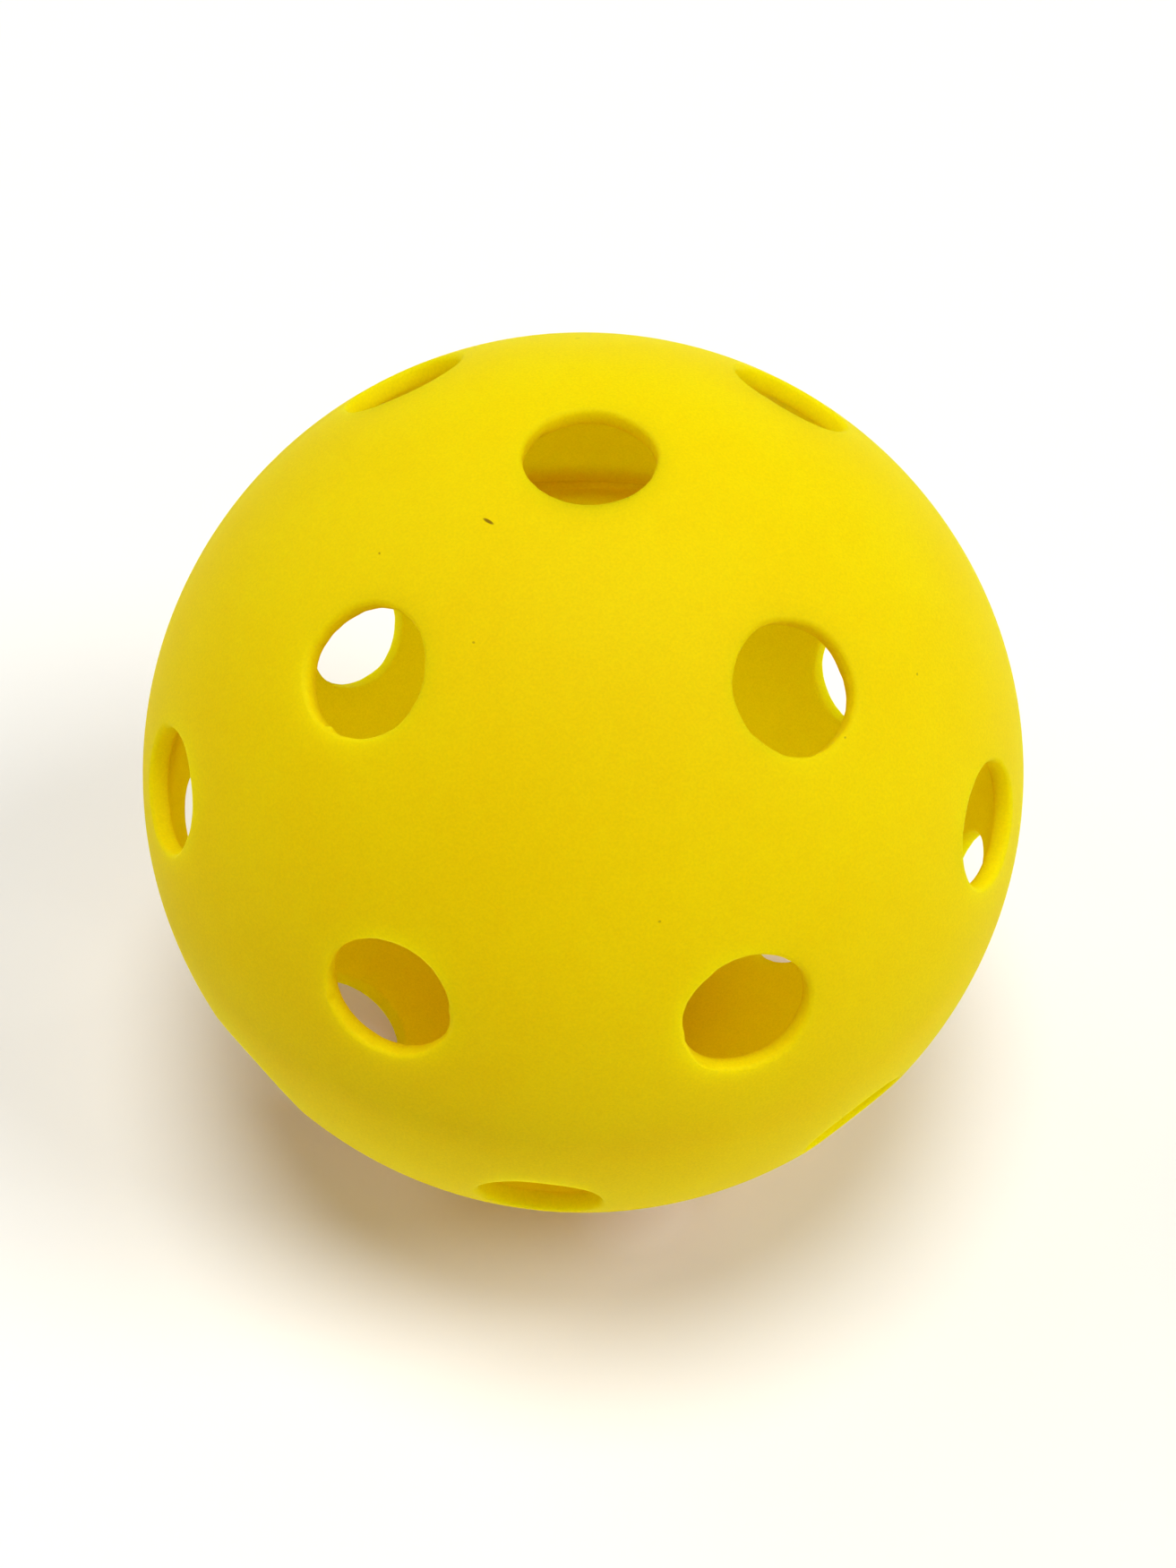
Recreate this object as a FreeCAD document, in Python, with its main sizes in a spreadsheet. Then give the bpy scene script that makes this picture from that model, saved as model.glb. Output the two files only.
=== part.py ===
import FreeCAD, Part
import math
import os

import Sketcher

# Hollow perforated ball for racket and paddle games.
# Two identical domed half shells are welded together at the equator.
# Each half has a hole at its pole, a ring of four holes and a ring of eight holes.
# Millimetres. Origin at the ball's centre, +Z out through the upper half's pole hole.

doc = FreeCAD.newDocument("PerforatedBall")

# ---------------------------------------------------------------- sizes
SIZES = [
    ("ball_diameter", 74.0),      # outside of the finished ball
    ("wall_thickness", 1.6),      # the same all over both halves
    ("hole_diameter", 10.0),      # every hole in the ball
    ("rim_round", 0.3),           # rounding on both rims of every hole
    ("inner_ring_angle", 37.1),   # degrees from the pole to the ring of four
    ("outer_ring_angle", 71.5),   # degrees from the pole to the ring of eight
    ("inner_ring_start", 45.0),   # degrees round the pole from +X to the first hole of the four
    ("outer_ring_start", 22.5),   # degrees round the pole from +X to the first hole of the eight
    ("inner_ring_count", 4),
    ("outer_ring_count", 8),
    ("seam_height", 1.0),         # band of melted plastic between the two rims
    ("bead_depth", 0.4),          # how far that band stands in from the inside wall
    ("half_turn", -25.5),         # degrees the lower half is turned about the pole when it is welded on
]
FORMULAS = [
    ("outside_radius", "=ball_diameter / 2"),
    ("inside_radius", "=ball_diameter / 2 - wall_thickness"),
    ("hole_radius", "=hole_diameter / 2"),
    ("half_seam", "=seam_height / 2"),
    ("cut_start", "=inside_radius * 0.85"),
    ("cut_end", "=outside_radius * 1.15"),
    ("bead_radius", "=inside_radius - bead_depth"),
]
sheet = doc.addObject("Spreadsheet::Sheet", "Sizes")
value = {}
row = 1
for name, number in SIZES:
    sheet.set("A%d" % row, name)
    sheet.set("B%d" % row, str(number))
    sheet.setAlias("B%d" % row, name)
    value[name] = number
    row += 1
for name, formula in FORMULAS:
    sheet.set("A%d" % row, name)
    sheet.set("B%d" % row, formula)
    sheet.setAlias("B%d" % row, name)
    row += 1
doc.recompute()
for name, formula in FORMULAS:
    value[name] = float(getattr(sheet, name))


# ---------------------------------------------------------------- helpers
def origin_item(body, role):
    """A plane or axis of the body's own origin."""
    for item in body.Origin.OriginFeatures:
        if item.Role == role:
            return item
    raise ValueError(role)


def new_sketch(body, role, label):
    """An empty sketch on one of the body's own planes."""
    sketch = body.newObject("Sketcher::SketchObject", label)
    sketch.AttachmentSupport = [(origin_item(body, role), "")]
    sketch.MapMode = "FlatFace"
    return sketch


def bound(sketch, constraint, formula):
    """Adds a dimension to a sketch and ties it to the sheet."""
    index = sketch.addConstraint(constraint)
    sketch.setExpression("Constraints[%d]" % index, formula)
    return index


def point(x, y):
    return FreeCAD.Vector(x, y, 0)


def arc_about_centre(radius, start, end):
    """Arc about the sketch's origin, between two polar angles in radians."""
    circle = Part.Circle(point(0, 0), FreeCAD.Vector(0, 0, 1), radius)
    return Part.ArcOfCircle(circle, start, end)


ORIGIN = (-1, 1)
UPRIGHT = -2


def dome_sketch(body):
    """Half section of the domed shell, from just above the equator up to the pole."""
    outside = value["outside_radius"]
    inside = value["inside_radius"]
    low = value["half_seam"]
    sketch = new_sketch(body, "XZ_Plane", "dome_section")
    outer = sketch.addGeometry(arc_about_centre(outside, math.asin(low / outside), math.pi / 2))
    inner = sketch.addGeometry(arc_about_centre(inside, math.asin(low / inside), math.pi / 2))
    top = sketch.addGeometry(Part.LineSegment(point(0, outside), point(0, inside)))
    foot_out = point(math.sqrt(outside ** 2 - low ** 2), low)
    foot_in = point(math.sqrt(inside ** 2 - low ** 2), low)
    rim = sketch.addGeometry(Part.LineSegment(foot_in, foot_out))
    for arc in (outer, inner):
        sketch.addConstraint(Sketcher.Constraint("Coincident", arc, 3, *ORIGIN))
    sketch.addConstraint(Sketcher.Constraint("Coincident", outer, 2, top, 1))
    sketch.addConstraint(Sketcher.Constraint("Coincident", inner, 2, top, 2))
    sketch.addConstraint(Sketcher.Constraint("Coincident", rim, 1, inner, 1))
    sketch.addConstraint(Sketcher.Constraint("Coincident", rim, 2, outer, 1))
    sketch.addConstraint(Sketcher.Constraint("PointOnObject", top, 1, UPRIGHT))
    sketch.addConstraint(Sketcher.Constraint("PointOnObject", top, 2, UPRIGHT))
    sketch.addConstraint(Sketcher.Constraint("Horizontal", rim))
    bound(sketch, Sketcher.Constraint("Radius", outer, outside), "Sizes.outside_radius")
    bound(sketch, Sketcher.Constraint("Radius", inner, inside), "Sizes.inside_radius")
    bound(sketch, Sketcher.Constraint("DistanceY", -1, 1, rim, 1, low), "Sizes.half_seam")
    return sketch


def revolved(body, label, sketch, axis, kind):
    """A full turn of a sketch about a line of the sketch, added or cut."""
    feature = body.newObject(kind, label)
    feature.Profile = sketch
    feature.ReferenceAxis = (sketch, [axis])
    feature.Angle = 360.0
    body.Tip = feature
    return feature


def slanted_hole(body, label, polar_name, start_name):
    """One hole cut along a radius of the ball, at the named angles from and round the pole."""
    reach = value["cut_end"]
    near = value["cut_start"]
    radius = value["hole_radius"]
    lean = math.radians(value[polar_name])
    along = (math.sin(lean), math.cos(lean))
    across = (math.cos(lean), -math.sin(lean))
    sketch = new_sketch(body, "XZ_Plane", label + "_section")
    upright = FreeCAD.Vector(0, 1, 0)
    turn = FreeCAD.Rotation(upright, value[start_name])
    sketch.AttachmentOffset = FreeCAD.Placement(FreeCAD.Vector(), turn)
    sketch.setExpression("AttachmentOffset.Rotation.Angle", "Sizes.%s" % start_name)

    def at(distance, offset):
        return point(
            distance * along[0] + offset * across[0],
            distance * along[1] + offset * across[1],
        )

    axis = sketch.addGeometry(Part.LineSegment(at(0, 0), at(reach, 0)), True)
    near_end = sketch.addGeometry(Part.LineSegment(at(near, 0), at(near, radius)))
    wall = sketch.addGeometry(Part.LineSegment(at(near, radius), at(reach, radius)))
    far_end = sketch.addGeometry(Part.LineSegment(at(reach, radius), at(reach, 0)))
    middle = sketch.addGeometry(Part.LineSegment(at(reach, 0), at(near, 0)))
    ring = (near_end, wall, far_end, middle)
    for first, second in zip(ring, ring[1:] + ring[:1]):
        sketch.addConstraint(Sketcher.Constraint("Coincident", first, 2, second, 1))
    sketch.addConstraint(Sketcher.Constraint("Coincident", axis, 1, *ORIGIN))
    sketch.addConstraint(Sketcher.Constraint("Coincident", middle, 1, axis, 2))
    sketch.addConstraint(Sketcher.Constraint("PointOnObject", middle, 2, axis))
    sketch.addConstraint(Sketcher.Constraint("Perpendicular", near_end, axis))
    sketch.addConstraint(Sketcher.Constraint("Parallel", wall, axis))
    sketch.addConstraint(Sketcher.Constraint("Perpendicular", far_end, axis))
    end = at(reach, 0)
    bound(
        sketch,
        Sketcher.Constraint("DistanceX", -1, 1, axis, 2, end.x),
        "Sizes.cut_end * sin(Sizes.%s * 1deg)" % polar_name,
    )
    bound(
        sketch,
        Sketcher.Constraint("DistanceY", -1, 1, axis, 2, end.y),
        "Sizes.cut_end * cos(Sizes.%s * 1deg)" % polar_name,
    )
    bound(sketch, Sketcher.Constraint("Distance", near_end, radius), "Sizes.hole_radius")
    bound(
        sketch,
        Sketcher.Constraint("Distance", -1, 1, near_end, 1, near),
        "Sizes.cut_start",
    )
    return revolved(body, label, sketch, "Axis0", "PartDesign::Groove")


def ring_of(body, label, feature, count_name):
    """Repeats a hole evenly round the pole."""
    pattern = body.newObject("PartDesign::PolarPattern", label)
    pattern.Originals = [feature]
    pattern.Axis = (origin_item(body, "Z_Axis"), [""])
    pattern.Angle = 360
    pattern.Occurrences = int(value[count_name])
    pattern.setExpression("Occurrences", "Sizes.%s" % count_name)
    body.Tip = pattern
    return pattern


def hole_rims(shape):
    """Names of the round edges where the holes meet the inside and outside of the wall."""
    names = []
    for number, edge in enumerate(shape.Edges, 1):
        middle = (edge.FirstParameter + edge.LastParameter) / 2
        bend = edge.curvatureAt(middle)
        if bend * value["hole_radius"] > 0.9:
            names.append("Edge%d" % number)
    return names


def half_shell(label):
    """One moulded half: a dome with its pole hole, its ring of four and its ring of eight."""
    body = doc.addObject("PartDesign::Body", label)
    body.Label = label
    revolved(body, "dome", dome_sketch(body), "V_Axis", "PartDesign::Revolution")
    circle = new_sketch(body, "XY_Plane", "pole_hole_section")
    full = Part.Circle(point(0, 0), FreeCAD.Vector(0, 0, 1), value["hole_radius"])
    circle.addGeometry(full)
    circle.addConstraint(Sketcher.Constraint("Coincident", 0, 3, *ORIGIN))
    bound(circle, Sketcher.Constraint("Radius", 0, value["hole_radius"]), "Sizes.hole_radius")
    pole = body.newObject("PartDesign::Pocket", "pole_hole")
    pole.Profile = circle
    pole.Type = "ThroughAll"
    pole.Reversed = True
    body.Tip = pole
    doc.recompute()
    first = slanted_hole(body, "first_of_four", "inner_ring_angle", "inner_ring_start")
    doc.recompute()
    ring_of(body, "ring_of_four", first, "inner_ring_count")
    doc.recompute()
    second = slanted_hole(body, "first_of_eight", "outer_ring_angle", "outer_ring_start")
    doc.recompute()
    pattern = ring_of(body, "ring_of_eight", second, "outer_ring_count")
    doc.recompute()
    rounding = body.newObject("PartDesign::Fillet", "rim_rounding")
    rounding.Base = (pattern, hole_rims(pattern.Shape))
    rounding.Radius = value["rim_round"]
    rounding.setExpression("Radius", "Sizes.rim_round")
    body.Tip = rounding
    doc.recompute()
    return body


# ---------------------------------------------------------------- upper and lower halves
upper = half_shell("upper_half_shell")

# The lower half is the same moulding turned upside down, then turned about the pole.
lower = half_shell("lower_half_shell")
flip = FreeCAD.Rotation(FreeCAD.Vector(1, 0, 0), 180)
turned = FreeCAD.Rotation(FreeCAD.Vector(0, 0, 1), value["half_turn"])
lower.Placement = FreeCAD.Placement(FreeCAD.Vector(), turned.multiply(flip))

# ---------------------------------------------------------------- weld seam
# Melted plastic between the two rims: flush outside, with a small round bead inside.
seam = doc.addObject("PartDesign::Body", "weld_seam")
seam.Label = "weld_seam"
outside = value["outside_radius"]
inside = value["inside_radius"]
bead = value["bead_radius"]
high = value["half_seam"]
section = new_sketch(seam, "XZ_Plane", "seam_section")
spread = math.asin(high / outside)
skin = section.addGeometry(arc_about_centre(outside, -spread, spread))
out_x = math.sqrt(outside ** 2 - high ** 2)
in_x = math.sqrt(inside ** 2 - high ** 2)
above = section.addGeometry(Part.LineSegment(point(out_x, high), point(in_x, high)))
round_part = Part.Arc(point(in_x, high), point(bead, 0), point(in_x, -high))
drop = section.addGeometry(round_part)
below = section.addGeometry(Part.LineSegment(point(in_x, -high), point(out_x, -high)))
arc_ends = section.Geometry[drop]
drop_top = 1 if arc_ends.StartPoint.y > 0 else 2
drop_foot = 3 - drop_top
section.addConstraint(Sketcher.Constraint("Coincident", skin, 3, *ORIGIN))
section.addConstraint(Sketcher.Constraint("Coincident", skin, 2, above, 1))
section.addConstraint(Sketcher.Constraint("Coincident", above, 2, drop, drop_top))
section.addConstraint(Sketcher.Constraint("Coincident", drop, drop_foot, below, 1))
section.addConstraint(Sketcher.Constraint("Coincident", below, 2, skin, 1))
section.addConstraint(Sketcher.Constraint("Horizontal", above))
section.addConstraint(Sketcher.Constraint("Horizontal", below))
section.addConstraint(Sketcher.Constraint("PointOnObject", drop, 3, -1))
bound(section, Sketcher.Constraint("Radius", skin, outside), "Sizes.outside_radius")
bound(
    section,
    Sketcher.Constraint("DistanceY", -1, 1, above, 1, high),
    "Sizes.half_seam",
)
bound(
    section,
    Sketcher.Constraint("DistanceX", -1, 1, above, 2, in_x),
    "sqrt(Sizes.inside_radius ^ 2 - Sizes.half_seam ^ 2)",
)
bead_height = in_x - bead
bead_round = (bead_height ** 2 + high ** 2) / (2 * bead_height)
rise = "(sqrt(Sizes.inside_radius ^ 2 - Sizes.half_seam ^ 2) - Sizes.bead_radius)"
bound(
    section,
    Sketcher.Constraint("Radius", drop, bead_round),
    "(%s ^ 2 + Sizes.half_seam ^ 2) / (2 * %s)" % (rise, rise),
)
revolved(seam, "seam_band", section, "V_Axis", "PartDesign::Revolution")
doc.recompute()

# ---------------------------------------------------------------- checks and export
for item in doc.Objects:
    for state in item.State:
        if state in ("Invalid", "Error"):
            raise RuntimeError("%s is %s" % (item.Label, state))

os.makedirs("parts", exist_ok=True)
for body in (upper, lower, seam):
    shape = body.Shape
    if shape.isNull() or not shape.isValid():
        raise RuntimeError("%s has no valid shape" % body.Label)
    if len(shape.Solids) != 1:
        raise RuntimeError("%s is %d solids" % (body.Label, len(shape.Solids)))
    shape.exportStep("parts/%s.step" % body.Label)
    box = shape.BoundBox
    print(
        body.Label,
        "volume %.1f" % shape.Volume,
        "z %.3f to %.3f" % (box.ZMin, box.ZMax),
        "x %.3f to %.3f" % (box.XMin, box.XMax),
        "faces %d" % len(shape.Faces),
    )
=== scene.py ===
import math

import bpy
import numpy as np
from mathutils import Matrix, Vector
from mathutils.geometry import delaunay_2d_cdt


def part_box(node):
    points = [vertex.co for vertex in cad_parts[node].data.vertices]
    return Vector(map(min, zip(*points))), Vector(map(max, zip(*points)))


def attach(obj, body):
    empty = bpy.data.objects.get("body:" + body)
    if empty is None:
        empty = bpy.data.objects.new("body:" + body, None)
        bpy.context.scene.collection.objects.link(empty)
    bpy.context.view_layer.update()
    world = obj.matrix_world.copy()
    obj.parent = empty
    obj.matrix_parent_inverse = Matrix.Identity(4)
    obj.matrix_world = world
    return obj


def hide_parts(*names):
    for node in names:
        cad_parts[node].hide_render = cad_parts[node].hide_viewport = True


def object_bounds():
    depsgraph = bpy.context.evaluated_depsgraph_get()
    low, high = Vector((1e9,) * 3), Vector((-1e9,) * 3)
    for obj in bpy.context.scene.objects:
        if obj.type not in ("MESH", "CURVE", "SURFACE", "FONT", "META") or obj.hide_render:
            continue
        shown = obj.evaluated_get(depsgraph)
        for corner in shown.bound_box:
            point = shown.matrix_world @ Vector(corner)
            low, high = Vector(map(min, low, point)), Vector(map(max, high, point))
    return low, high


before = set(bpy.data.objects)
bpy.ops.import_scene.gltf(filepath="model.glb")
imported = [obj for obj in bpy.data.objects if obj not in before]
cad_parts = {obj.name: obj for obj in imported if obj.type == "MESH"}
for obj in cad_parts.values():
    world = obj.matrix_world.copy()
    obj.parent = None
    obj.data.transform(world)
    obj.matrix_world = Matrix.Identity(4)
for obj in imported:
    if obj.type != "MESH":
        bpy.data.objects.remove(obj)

CAD_LOW, CAD_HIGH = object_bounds()

# ------------------------------------------------------------------ sizes, in millimetres
MM = 0.001
_, SEAM_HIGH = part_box("weld_seam")
R_OUT = SEAM_HIGH.x / MM          # the ball's outside radius
WALL = 1.6
R_IN = R_OUT - WALL
HALF_SEAM = SEAM_HIGH.z / MM      # half the height of the welded band
HOLE_R = 5.0
RIM_ROUND = 0.3                   # round edge of a hole
BEAD_DEPTH = 0.4                  # how far the weld's bead stands out inside
INNER_RING = (4, 37.1, 45.0)      # count, degrees from the pole, degrees round the pole
OUTER_RING = (8, 71.5, 22.5)
HALF_TURN = -25.5                 # degrees between the two halves
FLOOR_Z = CAD_LOW.z               # in metres

# ------------------------------------------------------------------ how finely it is drawn
RIM_POINTS = 192                  # points round each hole
ROUND_STEPS = 7                   # steps over the rounded edge of a hole
WALL_STEPS = 5                    # steps down the wall of a hole
EQUATOR_POINTS = 360
SKIN_STEP = 0.80                  # spacing of the points on the outside
LINING_STEP = 1.15                # and on the inside
SEAM_ROWS = 5                     # rows of points on the outside of the welded band
BEAD_ROWS = 9                     # and over its bead

# rows of points beside a hole on the skin: distance, one point in how many, first point
ROWS_BESIDE_HOLE = ((0.16, 1, 0), (0.42, 2, 1), (0.85, 4, 2))

# ------------------------------------------------------------------ how uneven the plastic is
SINK = 0.03                       # the moulded surface sinks by up to this
SINK_WAVES = 22
SEAM_FADE = 4.0                   # and not at all at the weld
BORE_WAVE = 0.045                 # the holes aren't quite round
BORE_RIPPLE = 0.010
LIP_RIPPLE = 0.010

# Where burrs and tears show, as shares of the way from the outside skin to the inside.
BURR_RISE, BURR_FALL = (0.0, 0.25), (0.40, 0.60)
TEAR_RISE, TEAR_FALL = (0.45, 0.8), (0.9, 1.0)

# The edges that the photo shows clearly, by hole of the upper half: (degrees round the hole,
# depth, width). A positive depth stands into the hole, and a negative one is missing plastic.
UPPER_BURRS = {
    3: [(274, 0.26, 0.22)],                        # a whisker on the front left hole of the four
    10: [(9, 0.14, 0.5), (208, -0.20, 0.35)],      # a step and a notch on the front left of the eight
    11: [(222, -0.22, 1.6)],                       # the front right of the eight is cut a little wide
}
UPPER_TEARS = {0: [(137, -0.25, 0.5)]}             # a chip inside the pole hole


def radial(polar, around):
    """Unit vector at these angles, in degrees, from the pole and round it."""
    t, a = math.radians(polar), math.radians(around)
    return np.array([math.sin(t) * math.cos(a), math.sin(t) * math.sin(a), math.cos(t)])


def hole_axes():
    """The axes of the upper half's holes: the pole, the ring of four, the ring of eight."""
    axes = [radial(0.0, 0.0)]
    for count, polar, start in (INNER_RING, OUTER_RING):
        axes += [radial(polar, start + 360.0 / count * k) for k in range(count)]
    return axes


def smooth(edge0, edge1, x):
    """Rises smoothly from 0 at the first edge to 1 at the second."""
    t = np.clip((x - edge0) / (edge1 - edge0), 0.0, 1.0)
    return t * t * (3 - 2 * t)


def turns(first, last):
    """Evenly spaced angles over the rounded edge of a hole."""
    return [first + (last - first) * k / ROUND_STEPS for k in range(ROUND_STEPS + 1)]


def sink_field(seed):
    """A gentle unevenness over the sphere, from 0 to 1, made of a few soft waves."""
    rng = np.random.default_rng(seed)
    waves = []
    for _ in range(SINK_WAVES):
        d = rng.normal(size=3)
        d /= np.linalg.norm(d)
        waves.append((d * rng.uniform(2.2, 6.5), rng.uniform(0, 2 * math.pi)))

    def value(n):
        total = np.zeros(len(n))
        for k, phase in waves:
            total += np.sin(n @ k + phase)
        return 0.5 + 0.5 * np.tanh(total / 4.0)

    return value


UNEVEN = sink_field(11)


# ------------------------------------------------------------------ hole rims
class Hole:
    """One radial hole, with the small irregularities of its cut edge.

    Burrs are on the outer rim and tears on the inner rim, each as (degrees, depth, width)."""

    def __init__(self, axis, seed, burrs=(), tears=()):
        self.n = axis
        helper = np.array([0.0, 0.0, 1.0]) if abs(axis[2]) < 0.9 else np.array([0.0, 1.0, 0.0])
        self.u = np.cross(helper, axis)
        self.u /= np.linalg.norm(self.u)
        self.v = np.cross(axis, self.u)
        rng = np.random.default_rng(seed)
        self.phi = np.arange(RIM_POINTS) / RIM_POINTS * 2 * math.pi
        self.bore = (
            HOLE_R
            + self.wave(rng, (2, 3, 4, 5, 6), BORE_WAVE)
            + self.wave(rng, range(9, 30), BORE_RIPPLE)
        )
        self.round_out = RIM_ROUND * np.clip(1.15 + self.wave(rng, (1, 2, 3, 5), 0.28), 0.5, 1.9)
        self.round_in = RIM_ROUND * np.clip(0.9 + self.wave(rng, (1, 2, 4), 0.22), 0.45, 1.6)
        self.lip = self.wave(rng, range(12, 46), LIP_RIPPLE)
        small = [
            (rng.uniform(0, 360), rng.uniform(-0.10, 0.12), rng.uniform(0.25, 0.9))
            for _ in range(6)
        ]
        self.burr = self.bumps(list(burrs) + small[:3])
        self.tear = self.bumps(list(tears) + small[3:])

    def wave(self, rng, orders, size):
        """Waves round the rim, so many of each, with random phases and heights."""
        total = np.zeros(RIM_POINTS)
        share = math.sqrt(1.0 / len(orders))
        for k in orders:
            phase = rng.uniform(0, 6.28)
            total += share * np.cos(k * self.phi + phase) * rng.uniform(0.5, 1.3)
        return total * size

    def bumps(self, places):
        """Single bumps round the rim."""
        total = np.zeros(RIM_POINTS)
        for angle, depth, width in places:
            gap = (self.phi - math.radians(angle) + math.pi) % (2 * math.pi) - math.pi
            total += depth * np.exp(-((gap * HOLE_R / width) ** 2))
        return total

    def place(self, across, along):
        """Points at distances across and along the axis, one for each point of the rim."""
        c, s = np.cos(self.phi), np.sin(self.phi)
        return along[:, None] * self.n + across[:, None] * (c[:, None] * self.u + s[:, None] * self.v)

    def on_sphere(self, radius, across):
        return self.place(across, np.sqrt(radius ** 2 - across ** 2))

    def section(self):
        """The hole's edge as (across, along), from the outside skin to the inside one."""
        bore, q, p = self.bore, self.round_out, self.round_in
        rows = []
        centre_across = bore + q
        centre_along = np.sqrt((R_OUT - q) ** 2 - centre_across ** 2)
        for turn in turns(np.arctan2(centre_along, centre_across), math.pi):
            rows.append((centre_across + q * np.cos(turn), centre_along + q * np.sin(turn)))
        top = rows[-1][1]
        in_across = bore + p
        in_along = np.sqrt((R_IN + p) ** 2 - in_across ** 2)
        for k in range(1, WALL_STEPS):
            rows.append((bore, top + (in_along - top) * k / WALL_STEPS))
        for turn in turns(math.pi, np.arctan2(-in_along, -in_across) + 2 * math.pi):
            rows.append((in_across + p * np.cos(turn), in_along + p * np.sin(turn)))
        return rows

    def profile(self):
        """Loops of points from the outside skin, down the wall and round the inner rim."""
        rows = self.section()
        last = len(rows) - 1
        loops = []
        for i, (across, along) in enumerate(rows):
            way = i / last
            ripple = self.lip * math.sin(math.pi * i / last) ** 0.7
            near_out = smooth(*BURR_RISE, way) * (1 - smooth(*BURR_FALL, way))
            near_in = smooth(*TEAR_RISE, way) * (1 - smooth(*TEAR_FALL, way))
            inward = ripple + self.burr * near_out + self.tear * near_in
            loops.append(self.place(across - inward, along))
        return loops


# ------------------------------------------------------------------ one half of the shell
def lattice(radius, step):
    """Evenly spread points on the upper half of a sphere."""
    count = int(4 * math.pi * radius ** 2 / (step * step * 0.866))
    i = np.arange(count) + 0.5
    z = 1 - 2 * i / count
    a = math.pi * (1 + 5 ** 0.5) * i
    s = np.sqrt(1 - z * z)
    p = np.stack([s * np.cos(a), s * np.sin(a), z], 1) * radius
    return p[p[:, 2] > 0]


def ring_at(radius, height, count, offset):
    """A ring of points on the sphere at this height."""
    a = (np.arange(count) + offset) / count * 2 * math.pi
    s = math.sqrt(radius ** 2 - height ** 2)
    return np.stack([s * np.cos(a), s * np.sin(a), np.full(count, height)], 1)


def skin(radius, holes, loops, step):
    """Triangles over the dome between the equator and the holes' loops.

    Returns the points and triangles; the first points are the loops', then the equator's."""
    scale = step / SKIN_STEP
    points = list(loops)
    owner = [np.full(len(loop), k) for k, loop in enumerate(loops)]
    points.append(ring_at(radius, HALF_SEAM, EQUATOR_POINTS, 0.0))
    owner.append(np.full(EQUATOR_POINTS, -1))
    extra = [ring_at(radius, HALF_SEAM + step * 0.75, EQUATOR_POINTS // 2, 0.5)]
    keep = lattice(radius, step)
    keep = keep[keep[:, 2] > HALF_SEAM + step * 1.35]
    for hole, loop in zip(holes, loops):
        across = np.linalg.norm(loop - np.outer(loop @ hole.n, hole.n), axis=1)
        for grow, stride, first in ROWS_BESIDE_HOLE:
            wider = hole.on_sphere(radius, across + grow * scale)
            extra.append(np.roll(wider, -first, 0)[::stride])
        along = keep @ hole.n
        out = np.sqrt(np.maximum(radius ** 2 - along ** 2, 0))
        keep = keep[(along < 0) | (out > across.max() + 1.35 * scale)]
    points += extra + [keep]
    p = np.concatenate(points)
    tag = np.concatenate(owner + [np.full(len(p) - sum(map(len, owner)), -2)])
    # flattened from the far pole, so that the triangles are well shaped on the dome too
    flat = p / radius
    flat = flat[:, :2] / (1 + flat[:, 2:3])
    result = delaunay_2d_cdt([Vector(q) for q in flat], [], [], 0, 1e-9)
    source = [ids[0] for ids in result[3]]
    triangles = np.array([[source[v] for v in f] for f in result[2]])
    # the triangles across a hole have all their corners on its loop
    same = (tag[triangles] == tag[triangles[:, :1]]).all(1) & (tag[triangles[:, 0]] >= 0)
    return p, triangles[~same]


def oriented(p, faces, outward):
    """Triangles turned so that they face away from the centre, or towards it."""
    a, b, c = p[faces[:, 0]], p[faces[:, 1]], p[faces[:, 2]]
    facing = (np.cross(b - a, c - a) * (a + b + c)).sum(1) > 0
    flip = facing != outward
    faces = faces.copy()
    faces[flip] = faces[flip][:, ::-1]
    return faces


def band(first, second):
    """Quads between two closed rows of point numbers."""
    return np.stack([first, np.roll(first, -1), np.roll(second, -1), second], 1)


def uneven(p):
    """Sinks the points a little, more in some places than in others."""
    r = np.linalg.norm(p, axis=1)
    n = p / r[:, None]
    near_seam = smooth(0.0, SEAM_FADE, np.abs(p[:, 2]) - HALF_SEAM)
    drop = SINK * UNEVEN(n) * near_seam
    return p - n * drop[:, None]


def build_mesh(name, p, face_groups):
    faces = [tuple(int(v) for v in f) for group in face_groups for f in group]
    mesh = bpy.data.meshes.new(name)
    mesh.from_pydata([tuple(q) for q in p * MM], [], faces)
    mesh.update()
    mesh.polygons.foreach_set("use_smooth", [True] * len(faces))
    obj = bpy.data.objects.new(name, mesh)
    bpy.context.scene.collection.objects.link(obj)
    return obj


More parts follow.
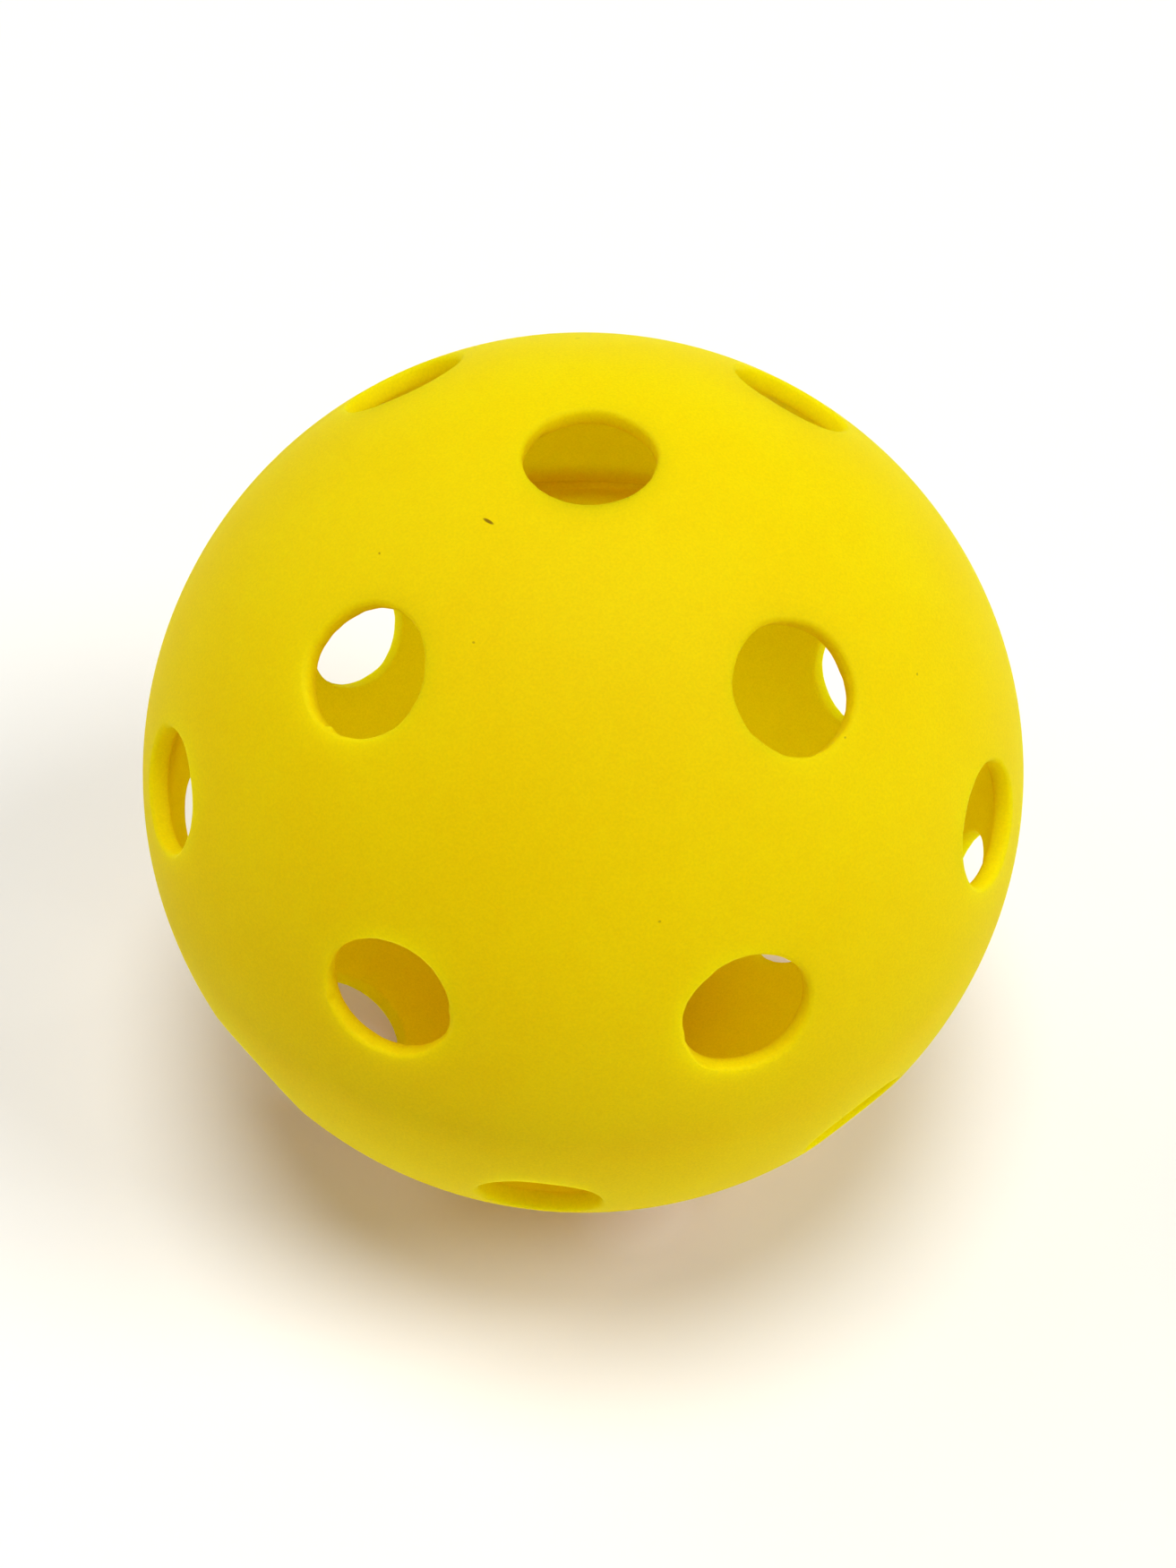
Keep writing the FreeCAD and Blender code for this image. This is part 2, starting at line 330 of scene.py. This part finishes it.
def half_shell(name, seed, burrs, tears):
    """The upper half's mesh: outside, inside, the holes' walls and the flat rim at the weld."""
    holes = [
        Hole(axis, seed + k, burrs.get(k, ()), tears.get(k, ()))
        for k, axis in enumerate(hole_axes())
    ]
    profiles = [hole.profile() for hole in holes]
    outer, outer_faces = skin(R_OUT, holes, [loops[0] for loops in profiles], SKIN_STEP)
    inner, inner_faces = skin(R_IN, holes, [loops[-1] for loops in profiles], LINING_STEP)
    outer_faces = oriented(outer, outer_faces, True)
    inner_faces = oriented(inner, inner_faces, False) + len(outer)
    points = [outer, inner]
    count = len(outer) + len(inner)
    walls = []
    rim = np.arange(RIM_POINTS)
    for k, loops in enumerate(profiles):
        rows = [k * RIM_POINTS + rim]
        for loop in loops[1:-1]:
            points.append(loop)
            rows.append(count + rim)
            count += RIM_POINTS
        rows.append(len(outer) + k * RIM_POINTS + rim)
        walls += [band(upper, lower) for upper, lower in zip(rows, rows[1:])]
    p = np.concatenate(points)
    # the flat rim at the equator has points of its own, so that the skin stays smooth up to it
    equator = len(holes) * RIM_POINTS + np.arange(EQUATOR_POINTS)
    rim_out = len(p) + np.arange(EQUATOR_POINTS)
    rim_in = rim_out + EQUATOR_POINTS
    p = np.concatenate([p, p[equator], p[len(outer) + equator]])
    walls.append(np.stack([rim_out, rim_in, np.roll(rim_in, -1), np.roll(rim_out, -1)], 1))
    return build_mesh(name, uneven(p), [outer_faces, inner_faces] + walls)


def turn_over(piece):
    """Turns an upper half into the lower one."""
    spin = Matrix.Rotation(math.radians(HALF_TURN), 4, "Z")
    piece.data.transform(spin @ Matrix.Rotation(math.pi, 4, "X"))


def seam_ring(name):
    """The welded band: flush outside, with a slightly wavy bead inside."""
    a = np.arange(EQUATOR_POINTS) / EQUATOR_POINTS * 2 * math.pi
    wobble = 1 + 0.18 * np.sin(7 * a + 1.0) + 0.14 * np.sin(17 * a) + 0.10 * np.sin(41 * a + 2.0)
    bead = BEAD_DEPTH * 0.95
    rows = []
    for k in range(SEAM_ROWS):
        z = -HALF_SEAM + 2 * HALF_SEAM * k / (SEAM_ROWS - 1)
        rows.append((np.full(EQUATOR_POINTS, math.sqrt(R_OUT ** 2 - z * z)), z))
    for k in range(BEAD_ROWS):
        t = math.pi * k / (BEAD_ROWS - 1)
        z = HALF_SEAM * math.cos(t)
        base = math.sqrt(R_IN ** 2 - z * z)
        rows.append((base - bead * math.sin(t) * np.clip(wobble, 0, 1), z))
    p = np.concatenate([
        np.stack([r * np.cos(a), r * np.sin(a), np.full(EQUATOR_POINTS, z)], 1) for r, z in rows
    ])
    numbers = [k * EQUATOR_POINTS + np.arange(EQUATOR_POINTS) for k in range(len(rows))]
    bands = [band(low, high) for low, high in zip(numbers, numbers[1:] + numbers[:1])]
    obj = build_mesh(name, p, bands)
    sharp = {0, SEAM_ROWS - 1, SEAM_ROWS, len(rows) - 1}
    for edge in obj.data.edges:
        i, j = (v // EQUATOR_POINTS for v in edge.vertices)
        if i == j and i in sharp:
            edge.use_edge_sharp = True
    return obj


# ------------------------------------------------------------------ material
OUTSIDE_DEEP = (0.920, 0.622, 0.001, 1.0)
OUTSIDE_PALE = (0.945, 0.655, 0.0012, 1.0)
# painted light: the lining is painted paler and yellower than the outside, so that the hollow of the
# ball looks more brightly lit
LINING_PAINTED_LIGHTER = (0.968, 0.745, 0.001, 1.0)
# painted light: beside the weld the lining is painted paler still, where less light gets through the
# wall
LINING_PAINTED_LIGHT_AT_WELD = (0.995, 0.93, 0.001, 1.0)
DIRT = (0.16, 0.085, 0.004, 1.0)
REACH = 0.007                     # how far light goes through the plastic, in metres
REACH_AT_WELD = 0.00005

# Small marks on the upper half: degrees from the pole and round it, length and width in
# millimetres, degrees that the length is turned from due east, and how dark it is.
MARKS = (
    (15, 222, 0.58, 0.16, 10, 0.90),
    (27, 206, 0.14, 0.11, 0, 0.55),
    (28, 244, 0.13, 0.11, 0, 0.50),
    (47, 338, 0.15, 0.12, 0, 0.45),
    (57, 282, 0.14, 0.12, 0, 0.45),
    (8, 305, 0.13, 0.10, 0, 0.40),
    (45, 318, 0.12, 0.10, 0, 0.50),
    (31, 95, 0.30, 0.10, 35, 0.50),
    (62, 20, 0.14, 0.11, 0, 0.50),
    (58, 150, 0.24, 0.10, 70, 0.45),
)


class Nodes:
    """The kinds of node that the plastic is made of, each made and linked in one call."""

    def __init__(self, tree):
        self.tree = tree
        self.place = tree.nodes.new("ShaderNodeTexCoord").outputs["Object"]

    def feed(self, socket, value):
        """Links another node's result to a socket, or sets a plain value on it."""
        if isinstance(value, bpy.types.NodeSocket):
            self.tree.links.new(value, socket)
        else:
            socket.default_value = value

    def noise(self, scale, detail, rough):
        made = self.tree.nodes.new("ShaderNodeTexNoise")
        names = ("Vector", "Scale", "Detail", "Roughness")
        for name, value in zip(names, (self.place, scale, detail, rough)):
            self.feed(made.inputs[name], value)
        return made.outputs["Fac"]

    def spread(self, value, low, high, to_low, to_high):
        """Goes smoothly from one value to another while the input goes from low to high."""
        made = self.tree.nodes.new("ShaderNodeMapRange")
        made.interpolation_type = "SMOOTHSTEP"
        names = ("Value", "From Min", "From Max", "To Min", "To Max")
        for name, number in zip(names, (value, low, high, to_low, to_high)):
            self.feed(made.inputs[name], number)
        return made.outputs["Result"]

    def mixed_colour(self, share, first, second):
        made = self.tree.nodes.new("ShaderNodeMix")
        made.data_type = "RGBA"
        for socket, value in ((0, share), (6, first), (7, second)):
            self.feed(made.inputs[socket], value)
        return made.outputs[2]

    def mixed_number(self, share, first, second):
        made = self.tree.nodes.new("ShaderNodeMix")
        for socket, value in ((0, share), (2, first), (3, second)):
            self.feed(made.inputs[socket], value)
        return made.outputs[0]

    def length(self, vector):
        made = self.tree.nodes.new("ShaderNodeVectorMath")
        made.operation = "LENGTH"
        self.feed(made.inputs[0], vector)
        return made.outputs["Value"]

    def scaled(self, vector, scale):
        made = self.tree.nodes.new("ShaderNodeVectorMath")
        made.operation = "SCALE"
        self.feed(made.inputs[0], vector)
        self.feed(made.inputs["Scale"], scale)
        return made.outputs[0]

    def from_equator(self):
        parts = self.tree.nodes.new("ShaderNodeSeparateXYZ")
        self.feed(parts.inputs[0], self.place)
        size = self.tree.nodes.new("ShaderNodeMath")
        size.operation = "ABSOLUTE"
        self.feed(size.inputs[0], parts.outputs["Z"])
        return size.outputs[0]

    def mark(self, polar, around, length, width, turn, strength):
        """How much of a small soft-edged oval mark shows."""
        n = Vector(radial(polar, around))
        east = Vector((0, 0, 1)).cross(n).normalized()
        facing = Matrix((east, n.cross(east), n)).transposed()
        local = self.tree.nodes.new("ShaderNodeMapping")
        local.vector_type = "TEXTURE"
        self.feed(local.inputs["Vector"], self.place)
        local.inputs["Location"].default_value = n * R_OUT * MM
        local.inputs["Rotation"].default_value = (
            facing @ Matrix.Rotation(math.radians(turn), 3, "Z")
        ).to_euler()
        local.inputs["Scale"].default_value = (length * MM, width * MM, MM)
        return self.spread(self.length(local.outputs[0]), 0.55, 1.1, strength, 0.0)


def plastic():
    """Matt yellow plastic: a little light goes through its wall, less beside the thicker weld; its
    inside is painted paler, as painted light.
    """
    mat = bpy.data.materials.new("yellow_plastic")
    mat.use_nodes = True
    nodes = Nodes(mat.node_tree)
    body = mat.node_tree.nodes["Principled BSDF"]
    body.inputs["Roughness"].default_value = 0.62
    body.inputs["Specular IOR Level"].default_value = 0.03
    body.inputs["Subsurface Weight"].default_value = 1.0
    body.inputs["Subsurface Radius"].default_value = (1.0, 1.1, 0.3)

    height = nodes.from_equator()
    inward = nodes.spread(nodes.length(nodes.place), R_IN * MM, (R_OUT - 0.2) * MM, 1.0, 0.0)
    reach_outside = nodes.spread(height, 0.3 * MM, 4.0 * MM, REACH_AT_WELD, REACH)
    reach_inside = nodes.spread(height, 0.6 * MM, 3.2 * MM, REACH_AT_WELD, REACH)
    nodes.feed(body.inputs["Subsurface Scale"], nodes.mixed_number(inward, reach_outside, reach_inside))

    cloud = nodes.spread(nodes.noise(90.0, 3.0, 0.5), 0.3, 0.7, 0.0, 1.0)
    outside = nodes.mixed_colour(cloud, OUTSIDE_DEEP, OUTSIDE_PALE)
    # painted light: this marks where the lining beside the weld is painted paler
    weld = nodes.spread(height, 0.8 * MM, 3.0 * MM, 1.0, 0.0)
    lining_painted_lighter = nodes.mixed_colour(weld, LINING_PAINTED_LIGHTER, LINING_PAINTED_LIGHT_AT_WELD)
    grain = nodes.noise(5200.0, 2.0, 0.6)
    shade = nodes.spread(grain, 0.25, 0.75, 0.95, 1.04)
    # painted light: the inside and the holes' walls take the lining's paler painted colour, and the
    # outside keeps its own
    colour = nodes.scaled(nodes.mixed_colour(inward, outside, lining_painted_lighter), shade)
    for mark in MARKS:
        colour = nodes.mixed_colour(nodes.mark(*mark), colour, DIRT)
    nodes.feed(body.inputs["Base Color"], colour)

    bump = mat.node_tree.nodes.new("ShaderNodeBump")
    bump.inputs["Strength"].default_value = 0.25
    bump.inputs["Distance"].default_value = 0.05 * MM
    nodes.feed(bump.inputs["Height"], grain)
    nodes.feed(body.inputs["Normal"], bump.outputs[0])
    return mat


# ------------------------------------------------------------------ the ball
PLASTIC = plastic()
upper = half_shell("upper_shell_skin", 100, UPPER_BURRS, UPPER_TEARS)
lower = half_shell("lower_shell_skin", 150, {}, {})
turn_over(lower)
seam = seam_ring("weld_seam_band")
for piece, cad_node, slot in (
    (upper, "upper_half_shell", "shell"),
    (lower, "lower_half_shell", "shell"),
    (seam, "weld_seam", "seam"),
):
    piece.data.materials.append(PLASTIC)
    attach(piece, "root")
    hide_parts(cad_node)

# ------------------------------------------------------------------ floor
FLOOR_HALF = 1.6
FLOOR_COLOUR = (0.93, 0.91, 0.88, 1.0)


def pale_floor():
    mesh = bpy.data.meshes.new("floor")
    corners = ((-1, -1), (1, -1), (1, 1), (-1, 1))
    mesh.from_pydata([(x * FLOOR_HALF, y * FLOOR_HALF, FLOOR_Z) for x, y in corners], [], [(0, 1, 2, 3)])
    mat = bpy.data.materials.new("floor_paper")
    mat.use_nodes = True
    paper = mat.node_tree.nodes["Principled BSDF"]
    paper.inputs["Base Color"].default_value = FLOOR_COLOUR
    paper.inputs["Roughness"].default_value = 0.9
    mesh.materials.append(mat)
    made = bpy.data.objects.new("floor", mesh)
    bpy.context.scene.collection.objects.link(made)
    return made


pale_floor()

# ------------------------------------------------------------------ camera
DISTANCE = 5.75 * R_OUT * MM
ELEVATION = math.radians(50.1)
SIDEWAYS = math.radians(1.48)
ROLL = math.radians(1.34)
LENS = 57.27
SENSOR = 36.0
AIM_RIGHT = 0.0020                # how far off the ball's centre it looks, as shares of the distance
AIM_DOWN = 0.0044


def aimed_camera():
    data = bpy.data.cameras.new("camera")
    data.lens = LENS
    data.sensor_width = SENSOR
    data.sensor_fit = "AUTO"
    data.clip_start = 0.01
    data.clip_end = 20.0
    made = bpy.data.objects.new("camera", data)
    back = Vector((
        math.sin(SIDEWAYS) * math.cos(ELEVATION),
        -math.cos(SIDEWAYS) * math.cos(ELEVATION),
        math.sin(ELEVATION),
    ))
    eye = back * DISTANCE
    level = (-back).to_track_quat("-Z", "Y")
    right = level @ Vector((1, 0, 0))
    up = level @ Vector((0, 1, 0))
    aim = right * (AIM_RIGHT * DISTANCE) - up * (AIM_DOWN * DISTANCE)
    look = (aim - eye).normalized().to_track_quat("-Z", "Y")
    made.location = eye
    made.rotation_mode = "QUATERNION"
    made.rotation_quaternion = look @ Matrix.Rotation(ROLL, 3, "Z").to_quaternion()
    return made


camera = aimed_camera()
bpy.context.scene.collection.objects.link(camera)
bpy.context.scene.camera = camera

# ------------------------------------------------------------------ light
SOFTNESS = math.radians(26)       # how wide each light looks from the ball
COOL = (0.965, 1.0, 1.0)
WARM = (1.0, 0.86, 0.72)
WHITE = (1.0, 1.0, 1.0)
ROOM_LIGHT = 0.03
BACKDROP = 1.0

# name, direction from the ball to the light, strength, colour
LIGHTS = (
    ("overhead", (0.0, 0.0, 1.0), 1.92, COOL),
    ("key", (0.75, -0.15, 0.85), 1.32, COOL),
    ("front_top", (0.25, -0.75, 0.85), 0.12, COOL),
    ("left", (-0.8, 0.0, 0.8), 0.37, WARM),
    ("back_left", (-0.75, 0.6, 0.5), 0.44, WHITE),
    ("back", (0.0, 0.8, 0.8), 0.06, WHITE),
    ("right", (1.1, 0.0, 0.4), 0.20, WARM),
    ("front_low", (0.8, -0.9, 0.2), 0.07, WARM),
)


def soft_light(name, towards, strength, colour):
    """Even studio light from far away."""
    data = bpy.data.lights.new(name, "SUN")
    data.angle = SOFTNESS
    data.energy = strength
    data.color = colour
    lamp = bpy.data.objects.new(name, data)
    bpy.context.scene.collection.objects.link(lamp)
    lamp.rotation_mode = "QUATERNION"
    lamp.rotation_quaternion = Vector(towards).to_track_quat("Z", "Y")


def studio():
    """A dim room, with a white backdrop where the camera looks past the floor."""
    world = bpy.data.worlds.new("studio")
    world.use_nodes = True
    tree = world.node_tree
    room = tree.nodes["Background"]
    room.inputs["Color"].default_value = (1.0, 1.0, 1.0, 1.0)
    seen = tree.nodes.new("ShaderNodeLightPath").outputs["Is Camera Ray"]
    level = tree.nodes.new("ShaderNodeMapRange")
    level.inputs["To Min"].default_value = ROOM_LIGHT
    level.inputs["To Max"].default_value = BACKDROP
    tree.links.new(seen, level.inputs["Value"])
    tree.links.new(level.outputs["Result"], room.inputs["Strength"])
    return world


for light in LIGHTS:
    soft_light(*light)
bpy.context.scene.world = studio()

# the light inside the ball bounces many times before it leaves by the holes
bpy.context.scene.cycles.max_bounces = 20
bpy.context.scene.cycles.diffuse_bounces = 12

view = bpy.context.scene.view_settings
view.view_transform = "Standard"
view.look = "None"
